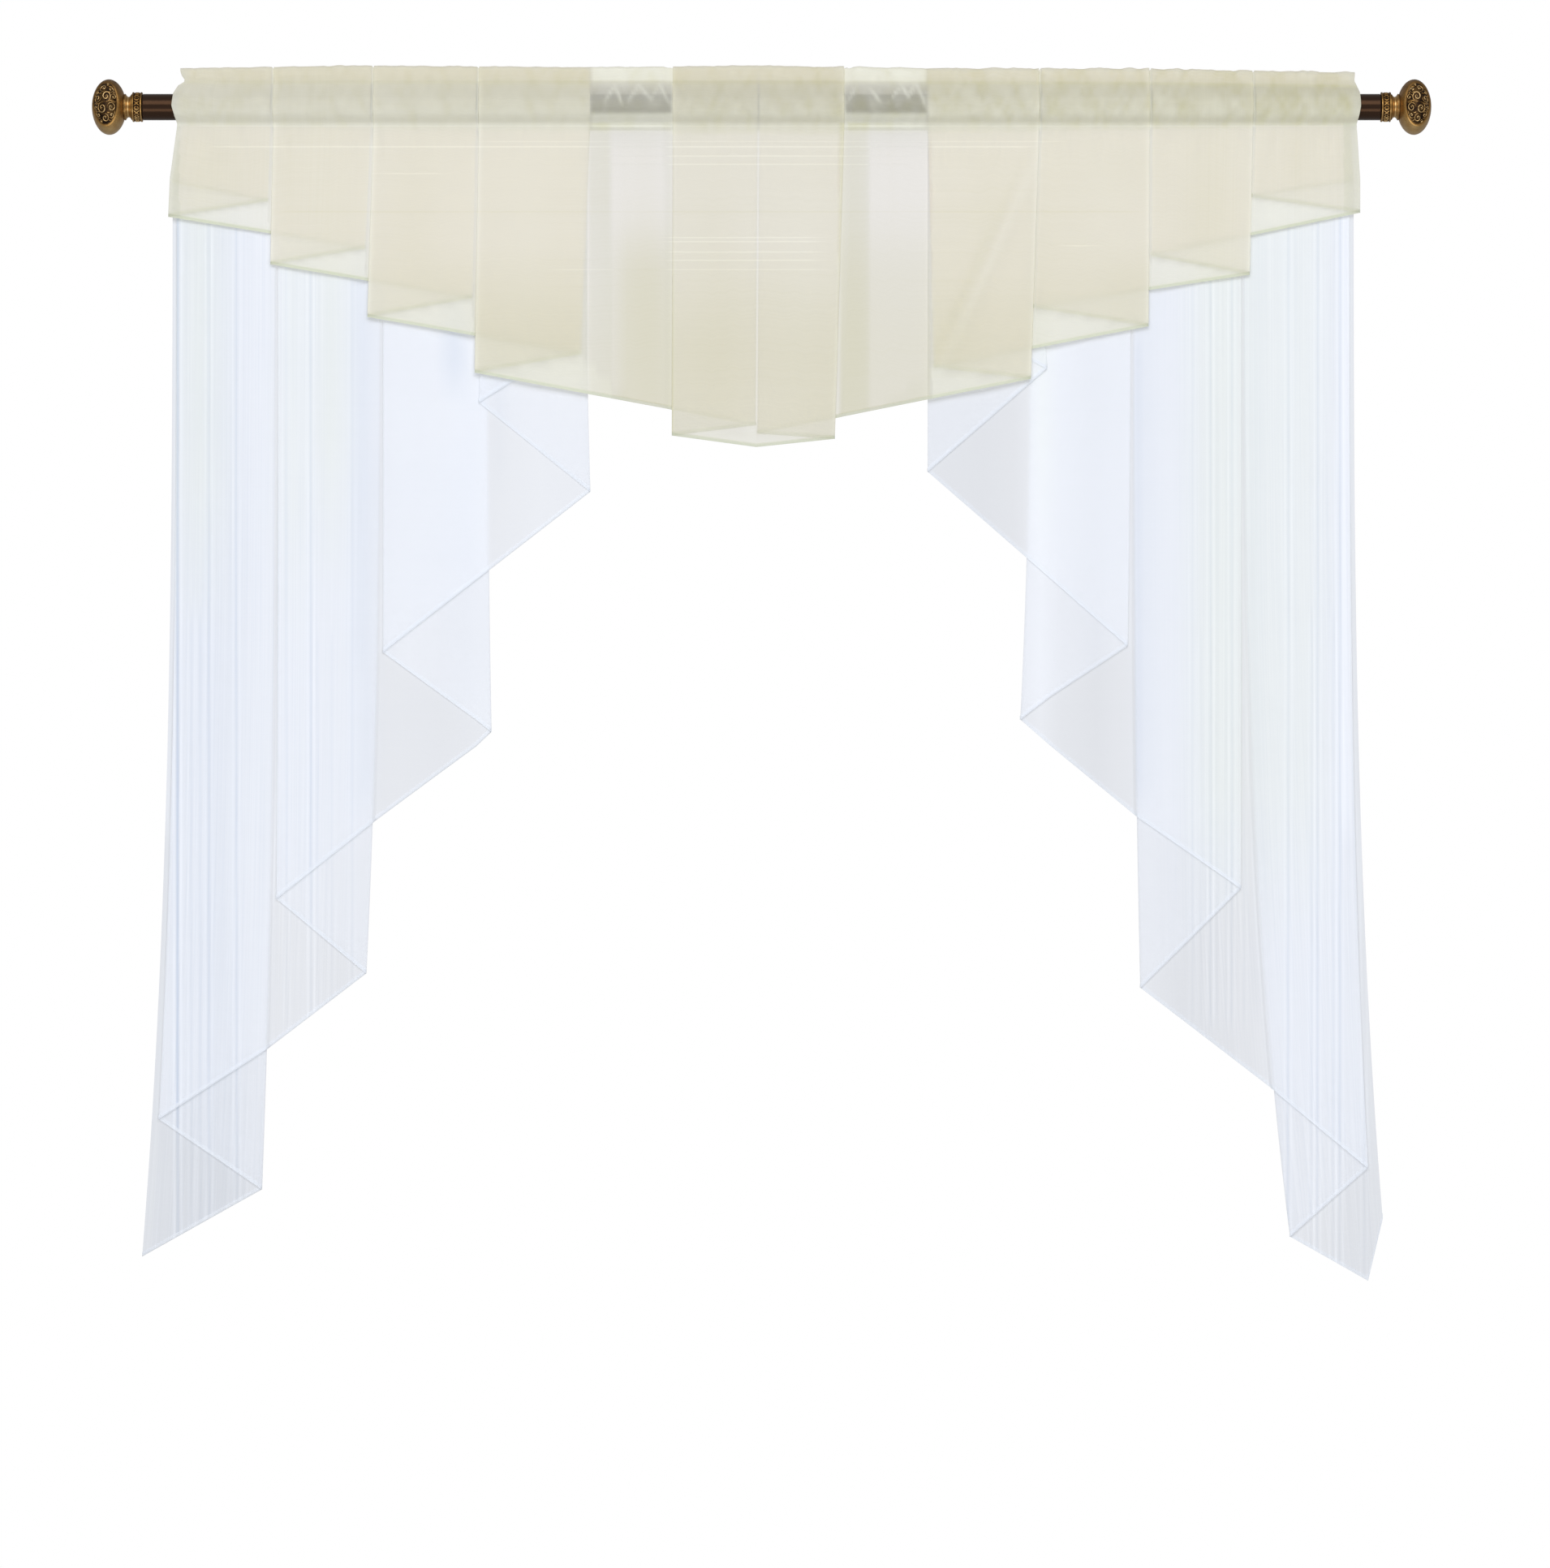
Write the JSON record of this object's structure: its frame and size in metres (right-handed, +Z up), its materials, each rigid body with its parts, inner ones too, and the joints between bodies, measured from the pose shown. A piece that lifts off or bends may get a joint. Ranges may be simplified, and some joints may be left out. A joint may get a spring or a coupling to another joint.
{
  "type": "pleated cafe curtain with two tails on its curtain rod",
  "caption": "Sheer pleated valance with a rod pocket and stand-up header, flanked by pleated cascading tails, hung on a round curtain rod with knob finials.",
  "frame": {"origin": "middle of the rod's axis", "axes": "+X along the rod, to the right seen from the front; +Y to the back, towards the wall or window; +Z up"},
  "size_m": [1.2984, 0.0534, 1.179],
  "materials": {
    "ivory_voile": "sheer ivory voile, pressed pleats",
    "white_voile": "sheer white voile, pressed pleats",
    "rod_finish": "glossy dark brown",
    "antique_bronze": "aged, with dark recesses"
  },
  "bodies": {
    "root": {"valance": "ivory_voile", "tail_left": "white_voile", "tail_right": "white_voile", "rod": "rod_finish", "collar_left": "antique_bronze", "collar_right": "antique_bronze", "finial_left": "antique_bronze", "finial_right": "antique_bronze"}
  },
  "joints": []
}
